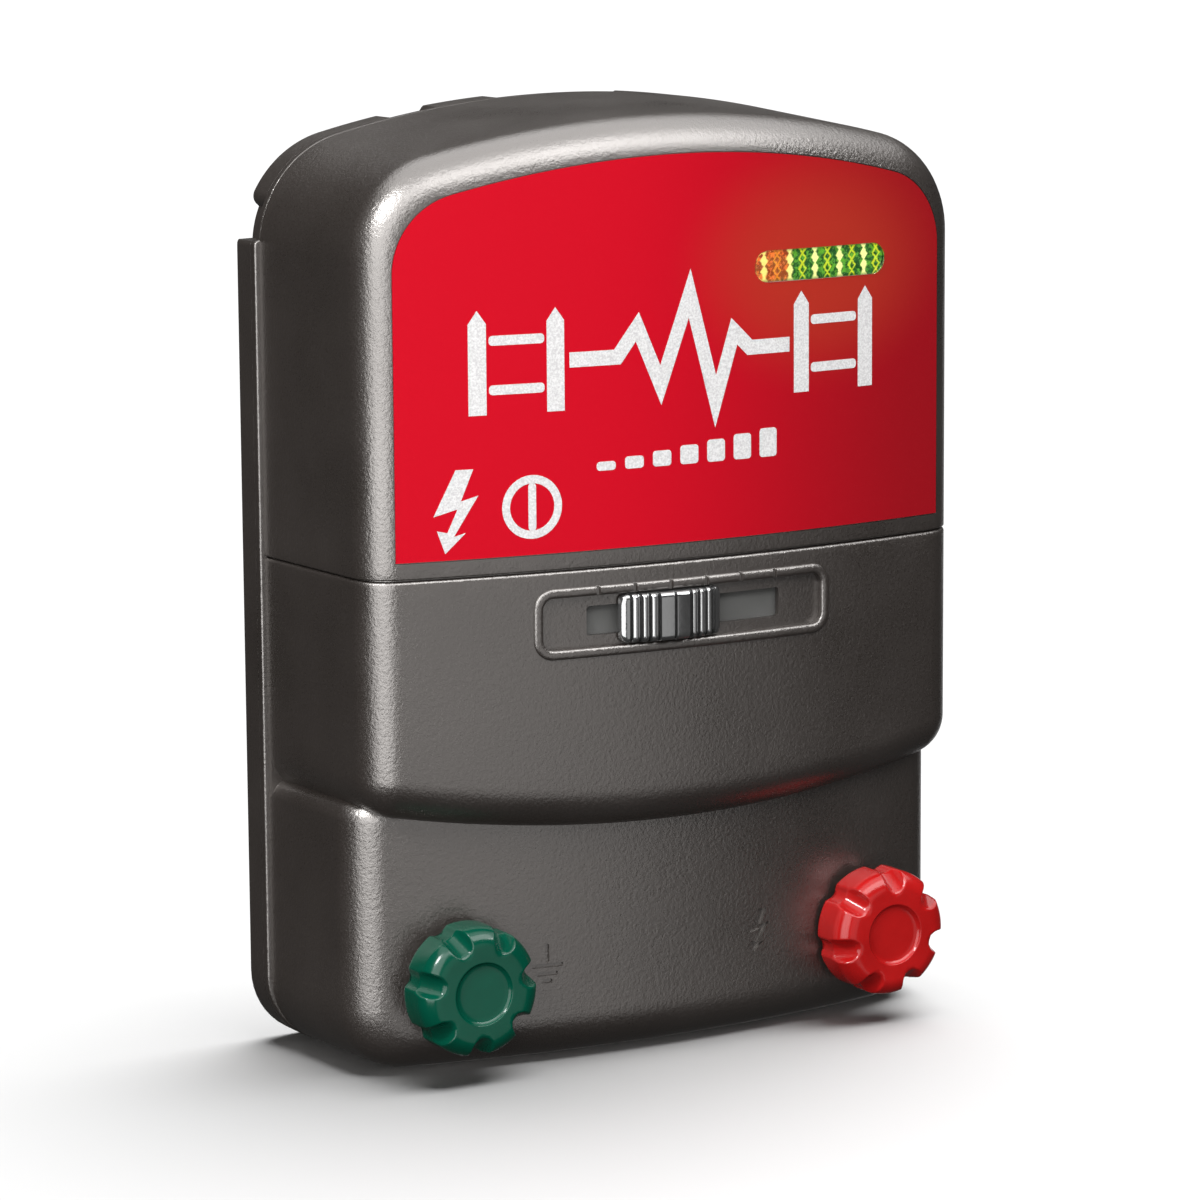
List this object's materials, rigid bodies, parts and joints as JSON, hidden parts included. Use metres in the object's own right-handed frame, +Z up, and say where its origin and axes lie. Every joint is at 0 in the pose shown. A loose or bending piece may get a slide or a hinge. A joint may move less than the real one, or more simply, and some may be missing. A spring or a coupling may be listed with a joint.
{
  "type": "electric fence energizer",
  "caption": "Wall-hung or free-standing fence energizer: bowed dark case, label panel, light bar, sliding selector and fluted fence and ground terminal knobs.",
  "frame": {"origin": "centre of the footprint on the rest surface; the case stands upright", "axes": "+X along the width towards the fence terminal, +Y towards the wall the case hangs on, +Z up"},
  "size_m": [0.193, 0.08, 0.258],
  "materials": {
    "case_plastic": "fine moulded texture",
    "label_film": "printed satin film",
    "seal_rubber": "matt",
    "lens_clear": "clear moulded plastic",
    "led_glow": "glowing segments",
    "board_green": "solder mask",
    "slider_plastic": "satin",
    "strip_plastic": "smooth satin",
    "contact_brass": "machined",
    "green_plastic": "glossy",
    "red_plastic": "glossy",
    "plated_steel": "zinc plated",
    "lead_insulation": "satin",
    "capacitor_sleeve": "shrink sleeve",
    "black_plastic": "satin",
    "sink_aluminium": "extruded",
    "fuse_glass": "clear",
    "core_steel": "varnished laminations",
    "bobbin_plastic": "moulded",
    "winding_copper": "enamelled wire under tape"
  },
  "bodies": {
    "case": {"rear_case": "case_plastic", "upper_front_cover": "case_plastic", "lower_front_cover": "case_plastic", "front_label": "label_film", "case_seal": "seal_rubber", "light_bar_lens": "lens_clear", "light_bar_leds": "led_glow", "light_bar_board": "board_green", "selector_contacts": "board_green", "ground_stud": "plated_steel", "fence_stud": "plated_steel", "stud_nuts": "plated_steel", "ring_lugs": "plated_steel", "output_leads": "lead_insulation", "circuit_board": "board_green", "storage_capacitors": "capacitor_sleeve", "thyristor": "black_plastic", "heat_sink": "sink_aluminium", "fuse": "fuse_glass", "fuse_clips": "contact_brass", "transformer_core": "core_steel", "transformer_bobbin": "bobbin_plastic", "transformer_winding": "winding_copper", "power_inlet": "black_plastic", "inlet_nut": "plated_steel", "case_screws": "plated_steel", "board_screws": "plated_steel"},
    "selector": {"selector_knob": "slider_plastic", "selector_strip": "strip_plastic", "selector_wiper": "contact_brass"},
    "ground_clamp": {"ground_washer": "plated_steel"},
    "ground_knob_turn": {"ground_knob": "green_plastic", "ground_insert": "contact_brass"},
    "fence_clamp": {"fence_washer": "plated_steel"},
    "fence_knob_turn": {"fence_knob": "red_plastic", "fence_insert": "contact_brass"}
  },
  "joints": [
    {"name": "selector_travel", "type": "hinge", "parent": "case", "child": "selector", "pos_m": [0, 0.39091, 0.122], "axis": [0, 0, 1], "range_deg": [-2.95, 4.42]},
    {"name": "ground_clamp_travel", "type": "slide", "parent": "case", "child": "ground_clamp", "axis": [0, -1, 0], "range_m": [0, 0.00625]},
    {"name": "ground_knob_rotation", "type": "hinge", "parent": "ground_clamp", "child": "ground_knob_turn", "pos_m": [-0.065, -0.03, 0.0252], "axis": [0, -1, 0], "range_deg": [0, 1800]},
    {"name": "fence_clamp_travel", "type": "slide", "parent": "case", "child": "fence_clamp", "axis": [0, -1, 0], "range_m": [0, 0.00625]},
    {"name": "fence_knob_rotation", "type": "hinge", "parent": "fence_clamp", "child": "fence_knob_turn", "pos_m": [0.065, -0.03, 0.0252], "axis": [0, -1, 0], "range_deg": [0, 1800]}
  ],
  "couplings": [
    {"joint": "ground_clamp_travel", "follows": "ground_knob_rotation", "m_per_rad": 0.00019894},
    {"joint": "fence_clamp_travel", "follows": "fence_knob_rotation", "m_per_rad": 0.00019894}
  ]
}
